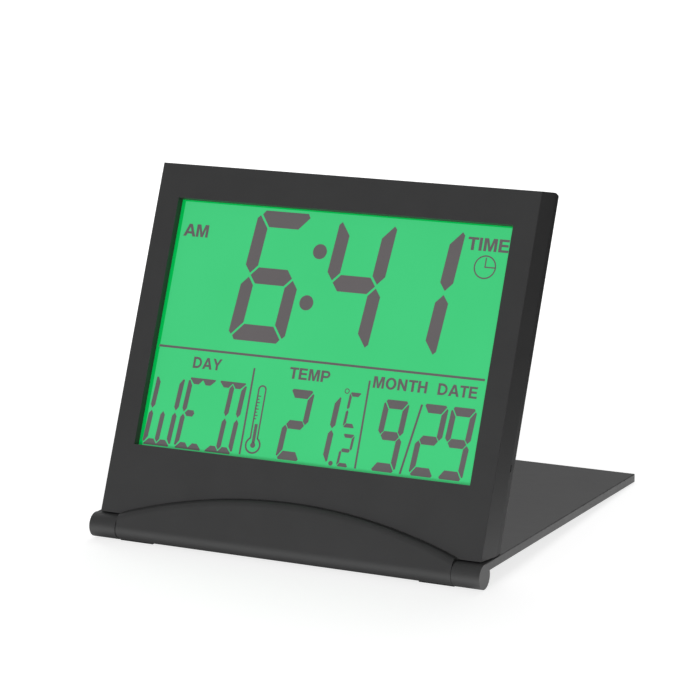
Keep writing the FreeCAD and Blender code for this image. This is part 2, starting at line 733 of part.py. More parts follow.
def make_chip():
    """Domed black resin over the clock's chip."""
    dome_radius = "((chip_radius ^ 2 + chip_height ^ 2) / (2 * chip_height))"
    ball = doc.addObject("Part::Sphere", "chip_ball")
    bind(ball, "Radius", dome_radius)
    bind(ball, ".Placement.Base.x", "chip_across")
    bind(ball, ".Placement.Base.y", f"{BOARD_BACK} + chip_height - {dome_radius}")
    bind(ball, ".Placement.Base.z", CHIP_UP)
    room = block("chip_room", "chip_across - chip_radius - 1", "chip_across + chip_radius + 1",
                 BOARD_BACK, f"{BOARD_BACK} + chip_height + 1",
                 f"{CHIP_UP} - chip_radius - 1", f"{CHIP_UP} + chip_radius + 1")
    cap = doc.addObject("Part::Common", "chip_cap")
    cap.Base = ball
    cap.Tool = room
    keep(cap, "chip_resin")


def make_crystal():
    """The watch crystal: a small metal can lying on the board."""
    can = rod("crystal_can", "x", "crystal_radius", "crystal_length",
              "chip_across - crystal_length / 2",
              f"{BOARD_BACK} + crystal_radius + seat_gap", CRYSTAL_UP)
    keep(group("crystal_group", [can]), "clock_crystal")


def make_small_parts(label, spots):
    """A row of small chip parts soldered to the board."""
    bits = []
    for index, (x, z) in enumerate(spots):
        bits.append(block(f"{label}_{index}", f"{x} - small_part_length / 2",
                          f"{x} + small_part_length / 2", BOARD_BACK,
                          f"{BOARD_BACK} + small_part_height",
                          f"{z} - small_part_width / 2", f"{z} + small_part_width / 2"))
    keep(group(f"{label}_group", bits), label)


def make_sensor():
    """The bead that measures the room's temperature."""
    bead = doc.addObject("Part::Sphere", "sensor_bead")
    bind(bead, "Radius", "sensor_radius")
    bind(bead, ".Placement.Base.x", f"sensor_inset - {HALF}")
    bind(bead, ".Placement.Base.y", f"{BOARD_BACK} + sensor_radius + seat_gap")
    bind(bead, ".Placement.Base.z", "sensor_up")
    keep(group("sensor_group", [bead]), "temperature_sensor")


def make_sounder():
    """Brass plate with its ceramic disc, on the ring inside the back."""
    front = f"({REAR_INNER} - ring_height - plate_thickness - seat_gap)"
    plate = rod("sounder_disc", "y", "plate_radius", "plate_thickness", SOUNDER_ACROSS, front,
                CELL_UP)
    keep(group("sounder_plate_group", [plate]), "sounder_plate")
    slice_front = f"({front} - ceramic_thickness - seat_gap)"
    slice_disc = rod("ceramic_disc", "y", "ceramic_radius", "ceramic_thickness", SOUNDER_ACROSS,
                     slice_front, CELL_UP)
    keep(group("sounder_ceramic_group", [slice_disc]), "sounder_ceramic")


SOUND_HOLES = [
    rect(f"{SOUNDER_ACROSS} - slot_length / 2", f"{SOUNDER_ACROSS} + slot_length / 2",
         f"{CELL_UP} + {index} * slot_pitch - slot_width / 2",
         f"{CELL_UP} + {index} * slot_pitch + slot_width / 2")
    for index in range(-(SOUND_SLOTS // 2), SOUND_SLOTS // 2 + 1)
]


# ---------------------------------------------------------------- cell

def make_cell():
    """A 2032 coin cell: the small cap faces the board, the can faces the door."""
    cap = rod("cell_cap_disc", "y", "cell_radius - cap_inset", "cap_height - seat_gap", CELL_ACROSS,
              CELL_FRONT, CELL_UP)
    keep(group("cell_cap_group", [cap]), "coin_cell_cap")
    can = rod("cell_can_disc", "y", "cell_radius", "cell_height - cap_height", CELL_ACROSS,
              f"{CELL_FRONT} + cap_height", CELL_UP)
    keep(group("cell_can_group", [can]), "coin_cell_can")


def make_contacts():
    """Leaf under the cell's cap and clip at the can's side."""
    reach = "(cell_radius + cell_gap + 2)"
    leaf = block("minus_leaf", f"{CELL_ACROSS} - {reach}", f"{CELL_ACROSS} + {reach}",
                 f"{BOARD_FRONT} - contact_thickness", BOARD_FRONT,
                 f"{CELL_UP} - contact_width / 2", f"{CELL_UP} + contact_width / 2")
    keep(group("minus_contact", [leaf]), "minus_contact_leaf")
    side = f"({CELL_UP} + cell_radius + contact_touch)"
    wall = block("plus_wall", f"{CELL_ACROSS} - contact_width", f"{CELL_ACROSS} + contact_width",
                 BOARD_BACK, f"{BOARD_BACK} + clip_height", side, f"{side} + contact_thickness")
    foot = block("plus_foot", f"{CELL_ACROSS} - contact_width", f"{CELL_ACROSS} + contact_width",
                 BOARD_BACK, f"{BOARD_BACK} + contact_thickness", side, f"{side} + clip_foot")
    keep(fuse("plus_contact", wall, foot), "plus_contact_clip")


def make_door():
    """Round door with bayonet lugs and a slot for a coin."""
    body = new_body("battery_door")
    slab(body, "door_disc", REAR_INNER, BACK, disc(None, None, DOOR_RADIUS))
    ring_outer = f"{DOOR_RADIUS} - door_gap"
    low = f"({REAR_INNER} - door_skirt)"
    slab(body, "door_ring_wall", low, f"({REAR_INNER} + rear_wall / 4)",
         disc(None, None, ring_outer), disc(None, None, f"{ring_outer} - door_ring"))
    lug = slab(body, "door_lug", low, f"({REAR_INNER} - lug_play)",
               rect("-lug_width / 2", "lug_width / 2", f"{DOOR_RADIUS} - door_ring",
                    f"{DOOR_RADIUS} + lug_reach"))
    pattern = body.newObject("PartDesign::PolarPattern", "door_lugs")
    pattern.Originals = [lug]
    turn_axis = [f for f in body.Origin.OriginFeatures if f.Role == "Y_Axis"][0]
    pattern.Axis = (turn_axis, [""])
    pattern.Angle = 360
    pattern.Occurrences = LUGS
    body.Tip = pattern
    cut(body, "coin_slot", f"({BACK} - coin_slot_depth)", f"({BACK} + 1)",
        wide("coin_slot_length / 2", "-coin_slot_width / 2", "coin_slot_width / 2"))
    keep(body, "battery_door", x=CELL_ACROSS, z=CELL_UP)


# ---------------------------------------------------------------- controls

BUTTON_PLACES = [
    (f"{name}_button", f"(button_pitch * {index - (len(BUTTONS) - 1) / 2} - button_pitch / 2)",
     ROW_UP, "button_side", "button_half_height")
    for index, name in enumerate(BUTTONS)
]
BUTTON_PLACES.append(("snooze_bar", "bar_across", BAR_UP, "bar_side", "bar_half_height"))


def make_button(label, x, z, side, tall):
    """A cap through the back wall, a flange behind it and a stem over its dome."""
    body = new_body(label)
    flange_top = f"({REAR_INNER} - flange_play)"
    flange_low = f"({flange_top} - flange_height)"
    stem_low = f"({DOME_TOP} + dome_play + button_travel)"
    slab(body, f"{label}_flange", flange_low, flange_top,
         wide(f"{side} + flange_reach", f"-({tall} + flange_reach)", f"{tall} + flange_reach"))
    cap = slab(body, f"{label}_cap", f"({flange_top} - flange_height / 2)",
               f"({BACK} + button_proud)", wide(side, f"-{tall}", tall))
    top = value(f"{BACK} + button_proud")
    soften(body, cap, f"{label}_edges", "button_gap * 2", lambda edge: all_at(edge, "y", top))
    slab(body, f"{label}_stem", stem_low, f"({flange_low} + flange_height / 2)",
         disc(None, None, "stem_radius"))
    keep(body, label, x=x, z=z)


def make_domes():
    """One snap dome on the board under each button."""
    domes = []
    for label, x, z, _, _ in BUTTON_PLACES:
        domes.append(cone(f"{label}_dome", "dome_radius", "stem_radius", "dome_height", x,
                          BOARD_BACK, z))
    keep(group("dome_group", domes), "snap_domes")


def make_alarm_switch():
    """A knob that slides in the back's slot and the switch that it moves."""
    half_run = "switch_travel / 2"
    knob_middle = f"({SWITCH_ACROSS} - {half_run})"
    body = new_body("alarm_knob")
    top = f"({REAR_INNER} - flange_play)"
    low = f"({top} - carriage_height)"
    reach = "(knob_side + switch_travel + carriage_overlap)"
    slab(body, "knob_carriage", low, top,
         wide(reach, "-(knob_half_height + carriage_overlap)", "knob_half_height + carriage_overlap"))
    slab(body, "knob_cap", f"({top} - carriage_height / 2)", f"({BACK} + knob_proud)",
         wide("knob_side", "-knob_half_height", "knob_half_height"))
    can_top = f"({BOARD_BACK} + switch_body_height)"
    slab(body, "knob_stem", f"({can_top} + contact_touch)", f"({low} + carriage_height / 2)",
         disc(None, None, "stem_radius"))
    keep(body, "alarm_knob", x=knob_middle, z=ROW_UP)
    can = block("switch_can", f"{SWITCH_ACROSS} - switch_body_side", f"{SWITCH_ACROSS} + switch_body_side",
                BOARD_BACK, can_top, f"{ROW_UP} - switch_body_half_height",
                f"{ROW_UP} + switch_body_half_height")
    keep(group("switch_group", [can]), "alarm_switch_body")


# ---------------------------------------------------------------- screws

def make_screw(name, x, z, head_back, shank_length, radius, head_radius, head_height):
    """A pan-headed screw with a cross recess, pointing to the front."""
    head_front = f"({head_back} - {head_height})"
    head = rod(f"{name}_head", "y", head_radius, head_height, x, head_front, z)
    shank = rod(f"{name}_shank", "y", radius, f"{shank_length} + {head_height} / 2", x,
                f"({head_front} - ({shank_length}))", z)
    solid = fuse(f"{name}_solid", head, shank)
    arm, width, sunk = f"({head_radius} * 0.6)", f"({radius} * 0.25)", f"({head_height} * 0.5)"
    flat = block(f"{name}_slot_a", f"{x} - {arm}", f"{x} + {arm}", f"{head_back} - {sunk}",
                 f"{head_back} + 1", f"{z} - {width}", f"{z} + {width}")
    tall = block(f"{name}_slot_b", f"{x} - {width}", f"{x} + {width}", f"{head_back} - {sunk}",
                 f"{head_back} + 1", f"{z} - {arm}", f"{z} + {arm}")
    return minus(f"{name}_screw", solid, fuse(f"{name}_cross", flat, tall))


def make_screws():
    """Four case screws from the back and two that hold the board."""
    seat = f"({BACK} - screw_sunk)"
    length = f"({seat} - screw_head_height - {depth('screw_tip_depth')})"
    case = [
        make_screw(f"case_{index}", x, z, seat, length, "screw_radius", "screw_head_radius",
                   "screw_head_height")
        for index, (x, z) in enumerate(CORNERS)
    ]
    keep(group("case_screw_group", case), "case_screws")
    board_seat = f"({BOARD_BACK} + board_screw_radius)"
    board_length = f"({BOARD_BACK} - {depth('bezel_wall + 0.6')})"
    board = [
        make_screw(f"board_{index}", x, z, board_seat, board_length, "board_screw_radius",
                   "board_screw_head", "board_screw_radius")
        for index, (x, z) in enumerate(BOARD_POSTS)
    ]
    keep(group("board_screw_group", board), "board_screws")


# ---------------------------------------------------------------- build and check

make_front_bezel()
make_rear_case()
make_foot_pads()
make_hinge_pins()
make_cover()
make_display()
make_tray()
make_board()
make_chip()
make_crystal()
make_small_parts("board_resistors", [
    (f"(chip_across - 12 + 4 * {i})", f"({CHIP_UP} - chip_radius - 4)") for i in range(5)
])
make_small_parts("board_capacitors", [
    (f"(chip_across + 8 + 4 * {i})", f"({CRYSTAL_UP} + 1)") for i in range(3)
])
make_sensor()
make_sounder()
make_cell()
make_contacts()
make_door()
for button in BUTTON_PLACES:
    make_button(*button)
make_domes()
make_alarm_switch()
make_screws()
doc.recompute()

for item in doc.Objects:
    if "Invalid" in item.State or "Error" in item.State:
        raise RuntimeError(f"{item.Label} did not build: {item.State}")
    if item.TypeId == "PartDesign::Pocket" and item.BaseFeature is not None:
        if item.BaseFeature.Shape.Volume - item.Shape.Volume < 0.001:
            raise RuntimeError(f"{item.Label} cuts nothing")
for node in nodes:
    if node.Shape.isNull() or not node.Shape.isValid() or not node.Shape.Solids:
        raise RuntimeError(f"{node.Label} has no sound shape")

os.makedirs("parts", exist_ok=True)
for node in nodes:
    node.Shape.exportStep(f"parts/{node.Label}.step")
    box = node.Shape.BoundBox
    print(f"{node.Label}: {len(node.Shape.Solids)} solid(s), {node.Shape.Volume:.1f} mm3, "
          f"z {box.ZMin:.2f} to {box.ZMax:.2f}")
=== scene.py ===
"""Folding travel clock: looks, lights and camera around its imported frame.

Sizes are in metres. Flat artwork on the display is laid out in millimetres in the head's own
frame: x along the hinge, y up the face from the hinge line.
"""
import bmesh
import bpy
import json
import math
from mathutils import Matrix, Vector

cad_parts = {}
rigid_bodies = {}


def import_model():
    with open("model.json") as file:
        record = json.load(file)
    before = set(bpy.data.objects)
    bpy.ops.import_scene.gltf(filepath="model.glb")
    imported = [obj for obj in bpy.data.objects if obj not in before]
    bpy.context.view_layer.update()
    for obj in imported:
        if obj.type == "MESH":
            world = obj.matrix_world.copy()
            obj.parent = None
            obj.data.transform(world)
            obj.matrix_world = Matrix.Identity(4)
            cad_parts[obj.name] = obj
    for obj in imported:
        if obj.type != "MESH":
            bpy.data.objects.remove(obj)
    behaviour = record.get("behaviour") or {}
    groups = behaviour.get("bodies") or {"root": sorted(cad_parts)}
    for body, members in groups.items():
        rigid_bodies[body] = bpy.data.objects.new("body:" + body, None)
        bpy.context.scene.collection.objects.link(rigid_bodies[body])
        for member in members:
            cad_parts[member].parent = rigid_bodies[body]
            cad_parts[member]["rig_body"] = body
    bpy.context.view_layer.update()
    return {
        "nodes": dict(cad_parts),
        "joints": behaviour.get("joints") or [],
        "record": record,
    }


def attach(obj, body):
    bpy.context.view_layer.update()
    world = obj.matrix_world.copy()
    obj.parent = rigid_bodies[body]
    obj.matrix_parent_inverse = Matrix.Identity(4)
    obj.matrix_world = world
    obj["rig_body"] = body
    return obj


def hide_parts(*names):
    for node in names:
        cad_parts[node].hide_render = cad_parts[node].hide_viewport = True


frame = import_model()

MM = 0.001
NODES = frame["nodes"]
JOINTS = {joint["name"]: joint for joint in frame["joints"]}
HINGE = Vector(JOINTS["cover_hinge"]["pos_m"])
BACK = -Vector(JOINTS["mode_press"]["axis"]).normalized()
UP = Vector((1, 0, 0)).cross(BACK)
HEAD = Matrix((Vector((1, 0, 0)), BACK, UP)).transposed().to_4x4()
HEAD.translation = HINGE


# ------------------------------------------------------------------ materials

class Wire:
    """A shader socket that can be used in sums, in one material's tree."""

    def __init__(self, tree, socket=None):
        self.tree = tree
        self.socket = socket

    def add(self, kind, settings=None, inputs=None, output=0):
        """A new node: its settings first, then its sockets' values or links."""
        node = self.tree.nodes.new(kind)
        for key, setting in (settings or {}).items():
            setattr(node, key, setting)
        for key, entry in (inputs or {}).items():
            if isinstance(entry, Wire):
                self.tree.links.new(entry.socket, node.inputs[key])
            else:
                node.inputs[key].default_value = entry
        return Wire(self.tree, node.outputs[output])

    def calculate(self, operation, first, second):
        """One Math node on sockets or numbers."""
        return self.add("ShaderNodeMath", {"operation": operation}, {0: first, 1: second})

    def __add__(self, other):
        return self.calculate("ADD", self, other)

    def __radd__(self, other):
        return self.calculate("ADD", other, self)

    def __sub__(self, other):
        return self.calculate("SUBTRACT", self, other)

    def __rsub__(self, other):
        return self.calculate("SUBTRACT", other, self)

    def __mul__(self, other):
        return self.calculate("MULTIPLY", self, other)

    def __rmul__(self, other):
        return self.calculate("MULTIPLY", other, self)

    def noise(self, size, detail=3.0, rough=0.5):
        """Noise from 0 to 1 whose blobs are about this many millimetres across."""
        place = self.add("ShaderNodeTexCoord", output="Object")
        inputs = {"Vector": place, "Scale": 1 / (size * MM), "Detail": detail, "Roughness": rough}
        return self.add("ShaderNodeTexNoise", None, inputs, output="Fac")

    def mix(self, amount, first, second):
        """A colour between two colours."""
        inputs = {0: amount, 6: first, 7: second}
        return self.add("ShaderNodeMix", {"data_type": "RGBA"}, inputs, output=2)

    def tint(self, colour, low, high):
        """A colour that varies between two strengths of itself as this value goes from 0 to 1."""
        return self.mix(self, shade(colour, low), shade(colour, high))

    def bump(self, height, depth, strength):
        """A normal from a height; depth is in millimetres."""
        inputs = {"Height": height, "Distance": depth * MM, "Strength": strength}
        return self.add("ShaderNodeBump", None, inputs)


def new_material(name):
    """An empty material with a Principled shader, and a wire to build on."""
    material = bpy.data.materials.new(name)
    material.use_nodes = True
    return material, Wire(material.node_tree)


def dress(material, **sockets):
    """Sets or links the Principled shader's sockets."""
    shader = material.node_tree.nodes["Principled BSDF"]
    for key, entry in sockets.items():
        socket = shader.inputs[key.replace("_", " ")]
        if isinstance(entry, Wire):
            material.node_tree.links.new(entry.socket, socket)
        else:
            socket.default_value = entry
    return material


def shade(colour, factor=1.0):
    """A colour made darker or lighter, with the alpha that a socket wants."""
    return (colour[0] * factor, colour[1] * factor, colour[2] * factor, 1)


def moulded(name, colour, rough=0.5, grain=0.35, depth=0.012, cloud=9.0, specular=0.5):
    """Moulded plastic: a fine spark-eroded grain, faint clouds and a little handling shine."""
    material, wire = new_material(name)
    fine = wire.noise(grain, 4.0, 0.6)
    clouds = wire.noise(cloud, 3.0, 0.55)
    specks = wire.noise(grain * 0.6, 2.0, 0.5)
    tone = clouds * 0.6 + specks * 0.4
    shine = (clouds - 0.5) * 0.14 + (specks - 0.5) * 0.08 + rough
    return dress(material, Base_Color=tone.tint(colour, 0.86, 1.14), Roughness=shine,
                 Normal=wire.bump(fine, depth, 0.5), Specular_IOR_Level=specular)


def metal(name, colour, rough=0.3, brush=(0.15, 4.0), depth=0.004):
    """Metal with faint stains and drawn lines, whose thickness and length brush gives in mm."""
    material, wire = new_material(name)
    place = wire.add("ShaderNodeTexCoord", output="Object")
    thin, long = (1 / (size * MM) for size in brush)
    stretched = wire.add("ShaderNodeMapping", None, {"Vector": place, "Scale": (long, thin, thin)})
    lines = wire.add("ShaderNodeTexNoise", None,
                     {"Vector": stretched, "Scale": 1.0, "Detail": 4.0}, output="Fac")
    stains = wire.noise(3.0)
    shine = lines * 0.2 + stains * 0.1 + (rough - 0.15)
    return dress(material, Base_Color=stains.tint(colour, 0.8, 1.05), Roughness=shine,
                 Metallic=1.0, Normal=wire.bump(lines, depth, 0.6))


def lit_film(name, colour, glow, rough, specular):
    """A sheet lit from behind: its green is a little uneven, between the glow's two colours."""
    material, wire = new_material(name)
    clouds = wire.noise(26.0, 2.0, 0.45)
    dots = wire.noise(0.22, 2.0, 0.5)
    tone = clouds * 0.86 + dots * 0.14
    low, high = glow
    return dress(material, Base_Color=tone.tint(colour, 0.94, 1.06),
                 Roughness=rough + (dots - 0.5) * 0.1,
                 Emission_Color=wire.mix(tone, shade(low), shade(high)), Emission_Strength=1.0,
                 Specular_IOR_Level=specular, Normal=wire.bump(dots, 0.002, 0.3))


def ink_with_painted_glow(name, colour):
    """A switched segment's fine-grained grey; its faint grey glow is painted light."""
    material, wire = new_material(name)
    dots = wire.noise(0.3, 2.0, 0.5)
    clouds = wire.noise(14.0, 2.0, 0.5)
    tone = dots * 0.4 + clouds * 0.6
    return dress(material, Base_Color=tone.tint(colour, 0.92, 1.08),
                 Roughness=0.5 + (dots - 0.5) * 0.1,
                 Emission_Color=tone.tint(colour, 0.38, 0.48), Emission_Strength=1.0)


def clear_material(name, tint, rough=0.05):
    """Clear sheet or glass with a faint tint and a few smears."""
    material, wire = new_material(name)
    smears = wire.noise(6.0, 3.0)
    return dress(material, Base_Color=smears.tint(tint, 0.97, 1.0),
                 Roughness=smears * 0.06 + rough, Transmission_Weight=0.9, IOR=1.5)


BOARD_LEAN = math.radians(24.7)


def board_material(name):
    """Green solder mask, paler and raised over its tracks, on a fibre weave."""
    material, wire = new_material(name)
    place = wire.add("ShaderNodeTexCoord", output="Object")
    turned = wire.add("ShaderNodeMapping", None,
                      {"Vector": place, "Rotation": (BOARD_LEAN, 0, 0)})
    tracks = wire.add("ShaderNodeTexVoronoi", {"feature": "F1", "distance": "CHEBYCHEV"},
                      {"Vector": turned, "Scale": 210.0, "Randomness": 0.8}, output="Distance")
    line = wire.add("ShaderNodeMapRange", None,
                    {"Value": wire.calculate("PINGPONG", tracks * 3.0, 0.25), "From Min": 0.16,
                     "From Max": 0.19, "To Min": 0.0, "To Max": 1.0})
    weave = wire.noise(0.4, 2.0)
    green = wire.mix(line, (0.006, 0.055, 0.02, 1), (0.02, 0.13, 0.045, 1))
    base = wire.mix(weave * 0.25, green, (0.05, 0.2, 0.08, 1))
    return dress(material, Base_Color=base, Roughness=0.24 + weave * 0.14,
                 Normal=wire.bump(line, 0.03, 0.7))


FACE_GREY = (0.040, 0.040, 0.0405)
FIELD_GREEN = (0.025, 0.30, 0.11)
FIELD_GLOW = ((0.032, 0.344, 0.104), (0.042, 0.364, 0.127))
# The border film's darker, more saturated green is painted shade of the bezel's edge on the
# display.
BORDER_SHADE_GREEN = (0.0, 0.30, 0.05)
BORDER_SHADE_GLOW = ((0.0, 0.2, 0.03), (0.0, 0.24, 0.04))
SEGMENT_GREY = (0.098, 0.09, 0.0925)

FINISH = {
    "front_shell": moulded("front_shell", FACE_GREY, 0.50),
    "rear_shell": moulded("rear_shell", FACE_GREY, 0.6, 0.5, 0.02, specular=0.2),
    "cover_plastic": moulded("cover_plastic", FACE_GREY, 0.48, 0.35),
    "door_plastic": moulded("door_plastic", FACE_GREY, 0.46, 0.5, 0.02),
    "knob_plastic": moulded("knob_plastic", (0.32, 0.32, 0.33), 0.42, 0.3),
    "button_rubber": moulded("button_rubber", (0.055, 0.055, 0.057), 0.68, 0.2, 0.01, 5.0, 0.35),
    "foot_rubber": moulded("foot_rubber", (0.022, 0.022, 0.022), 0.78, 0.25, 0.02, 4.0, 0.3),
    # The border film round the field is painted shade of the bezel, not a lit part of the display.
    "display_film": lit_film("border_glow", BORDER_SHADE_GREEN, BORDER_SHADE_GLOW, 0.6, 0.1),
    "display_glass": clear_material("display_glass", (0.88, 0.96, 0.9)),
    "clear_guide": clear_material("clear_guide", (0.9, 0.98, 0.92), 0.12),
    "reflector_film": moulded("reflector_film", (0.82, 0.83, 0.82), 0.35, 0.4, 0.004),
    "strip_rubber": moulded("strip_rubber", (0.42, 0.28, 0.27), 0.6, 0.1),
    "lamp_resin": clear_material("lamp_resin", (0.75, 0.98, 0.8), 0.08),
    "tray_plastic": moulded("tray_plastic", (0.78, 0.78, 0.76), 0.45, 0.4),
    "board_laminate": board_material("board_laminate"),
    "black_resin": moulded("black_resin", (0.016, 0.016, 0.017), 0.28, 0.8, 0.02),
    "ceramic_tan": moulded("ceramic_tan", (0.48, 0.36, 0.24), 0.4, 0.15),
    "ceramic_white": moulded("ceramic_white", (0.8, 0.79, 0.75), 0.4, 0.2),
    "steel": metal("steel", (0.68, 0.68, 0.69), 0.28),
    "screw_steel": metal("screw_steel", (0.46, 0.46, 0.47), 0.36, (0.1, 0.6)),
    "spring_metal": metal("spring_metal", (0.78, 0.7, 0.5), 0.3),
    "sounder_brass": metal("sounder_brass", (0.78, 0.6, 0.32), 0.32),
}
FIELD = lit_film("display_field", FIELD_GREEN, FIELD_GLOW, 0.42, 0.2)
# The segments' grey glow is painted light that brightens them.
INK = ink_with_painted_glow("display_ink", SEGMENT_GREY)


# ------------------------------------------------------------------ mesh helpers

# Edges sharper than HARD_EDGE are shaded sharp, and those sharper than MOULDED_EDGE are rounded.
HARD_EDGE = math.radians(35.0)
MOULDED_EDGE = math.radians(40.0)
ROUND_SEGMENTS = 2
WELD = 0.002 * MM
FLAT = math.radians(0.6)
DISH_RIM, DISH_DEPTH = 0.5, 0.14


def finish_piece(bm, name, body, material):
    """Turns a bmesh into a piece that rides on a body."""
    mesh = bpy.data.meshes.new(name)
    bm.to_mesh(mesh)
    bm.free()
    mesh.materials.append(material)
    mesh.shade_smooth()
    mesh.set_sharp_from_angle(angle=HARD_EDGE)
    piece = bpy.data.objects.new(name, mesh)
    bpy.context.scene.collection.objects.link(piece)
    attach(piece, body)
    return piece


def hollow_top(bm):
    """Sinks the face that lies furthest back into a shallow dish inside a rim."""
    facing = [face for face in bm.faces if face.normal.dot(BACK) > 0.99]
    top = max(facing, key=lambda face: face.calc_center_median().dot(BACK))
    bmesh.ops.inset_region(bm, faces=[top], thickness=DISH_RIM * MM, depth=-DISH_DEPTH * MM)


def softened(node, name, slot, width, dished=False):
    """A copy of a node whose sharp edges carry a small moulded round, its width in mm."""
    source = NODES[node]
    bm = bmesh.new()
    bm.from_mesh(source.data)
    bmesh.ops.remove_doubles(bm, verts=bm.verts, dist=WELD)
    bmesh.ops.dissolve_limit(bm, angle_limit=FLAT, verts=bm.verts, edges=bm.edges)
    if dished:
        hollow_top(bm)
    piece = finish_piece(bm, name, source["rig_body"], FINISH[slot])
    edge = piece.modifiers.new("edge_round", "BEVEL")
    edge.limit_method = "ANGLE"
    edge.angle_limit = MOULDED_EDGE
    edge.width = width * MM
    edge.segments = ROUND_SEGMENTS
    edge.use_clamp_overlap = True
    piece.modifiers.new("flat_faces", "WEIGHTED_NORMAL").keep_sharp = True
    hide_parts(node)


for subpart in frame["record"]["subparts"]:
    cad = NODES[subpart["node"]]
    cad.data.materials.clear()
    cad.data.materials.append(FINISH[subpart["material_slot"]])

softened("front_bezel", "front_frame", "front_shell", 0.08)
softened("rear_case", "back_shell", "rear_shell", 0.12)
softened("cover", "folding_cover", "cover_plastic", 0.06)
softened("battery_door", "coin_door", "door_plastic", 0.12)
softened("alarm_knob", "alarm_slider", "knob_plastic", 0.15)
softened("foot_pads", "rubber_feet", "foot_rubber", 0.12)
softened("case_screws", "shell_screws", "screw_steel", 0.08)
for key in ("mode_button", "set_button", "up_button", "down_button", "snooze_bar"):
    softened(key, f"{key}_cap", "button_rubber", 0.15, dished=True)


# ------------------------------------------------------------------ display artwork

def head_depth(node, pick):
    """How far back from the hinge line a node reaches, in the head's frame."""
    return pick((HEAD.inverted() @ v.co).y for v in NODES[node].data.vertices)


FILM_FRONT = head_depth("front_polariser", min)
SHEET = 0.03 * MM
LAYER_GAP = 0.01 * MM


def on_face(depth):
    """Places flat work: its x and y lie on the face and its z points out of it."""
    flat = Matrix((Vector((1, 0, 0)), UP, -BACK)).transposed().to_4x4()
    flat.translation = HINGE + BACK * depth
    return flat @ Matrix.Scale(MM, 4)


def outline(bm, points):
    """One flat face from its corners."""
    bm.faces.new([bm.verts.new((x, y, 0)) for x, y in points])


def bar(bm, x0, x1, y0, y1):
    outline(bm, [(x0, y0), (x1, y0), (x1, y1), (x0, y1)])


def stroke(bm, start, end, width):
    """A straight line of a given width."""
    a, b = Vector(start), Vector(end)
    side = (b - a).normalized().orthogonal() * width / 2
    outline(bm, [a - side, b - side, b + side, a + side])


def disc(bm, x, y, radius):
    bmesh.ops.create_circle(bm, cap_ends=True, segments=32, radius=radius,
                            matrix=Matrix.Translation((x, y, 0)))


def ring(bm, x, y, outer, inner, sides=48):
    """A flat ring between two circles or ovals, each given by its half width and half height."""
    edges = []
    for across, tall in (outer, inner):
        place = Matrix.Translation((x, y, 0)) @ Matrix.Diagonal((across, tall, 1, 1))
        made = bmesh.ops.create_circle(bm, segments=sides, radius=1, matrix=place)
        edges += list({edge for vert in made["verts"] for edge in vert.link_edges})
    bmesh.ops.bridge_loops(bm, edges=edges)


def arc(bm, x, y, outer, inner, start, turn, steps=12):
    """A flat band that turns about a point, anticlockwise from a start angle in degrees."""
    way = Matrix.Rotation(math.radians(start), 3, "Z") @ Vector((1, 0, 0))
    centre = Vector((x, y, 0))
    ends = [bm.verts.new(centre + way * radius) for radius in (inner, outer)]
    bmesh.ops.spin(bm, geom=ends + [bm.edges.new(ends)], cent=centre, axis=(0, 0, 1),
                   angle=math.radians(turn), steps=steps)


CUT_WIDTH = 16


def digit_parts(w, h, tv, th, gap):
    """The seven segments of a digit, from its lower left corner, before it leans.

    w and h are its width and height, tv and th the thickness of its upright and level bars.
    The cut ends are drawn for a digit of CUT_WIDTH and scale with the width.
    """
    scale = w / CUT_WIDTH
    run = tv / th
    half_gap = gap / 2
    tip, chamfer = 1.05 * scale, 0.75 * scale
    mid, nose, neck = h / 2, 0.5 * scale, 2.55 * scale
    drop = half_gap / run

    def top():
        left = half_gap + tip * run
        return [(left, h - tip), (left + chamfer, h), (w - left - chamfer, h), (w - left, h - tip),
                (w - tv - half_gap, h - th), (tv + half_gap, h - th)]

    def upper_left():
        peak = h - (chamfer + half_gap) / run
        return [(0, peak - chamfer), (0, mid + neck), (tv / 2, mid + nose), (tv, mid + neck),
                (tv, h - th - drop), (chamfer, peak)]

    def middle():
        near, far = tv / 2 + half_gap, tv + half_gap + 0.05 * scale
        return [(near, mid), (far, mid + th / 2), (w - far, mid + th / 2), (w - near, mid),
                (w - far, mid - th / 2), (far, mid - th / 2)]

    def flip_x(points):
        return [(w - x, y) for x, y in points]

    def flip_y(points):
        return [(x, h - y) for x, y in points]

    return {
        "a": top(), "b": flip_x(upper_left()), "c": flip_y(flip_x(upper_left())),
        "d": flip_y(top()), "e": flip_y(upper_left()), "f": upper_left(), "g": middle(),
    }


# The segments that are lit in each figure; a is the top one, b the upper right, and so on round.
LIT = {"1": "bc", "2": "abged", "4": "fgbc", "6": "afgecd", "9": "abcdfg", "C": "afed"}


def digit(bm, glyph, right, low, wide, tall, upright, level, gap, lean):
    """A seven-segment figure whose right edge and foot are given."""
    parts = digit_parts(wide, tall, upright, level, gap)
    for key in LIT[glyph]:
        outline(bm, [(right - wide + x + lean * (y - tall / 2), low + y) for x, y in parts[key]])


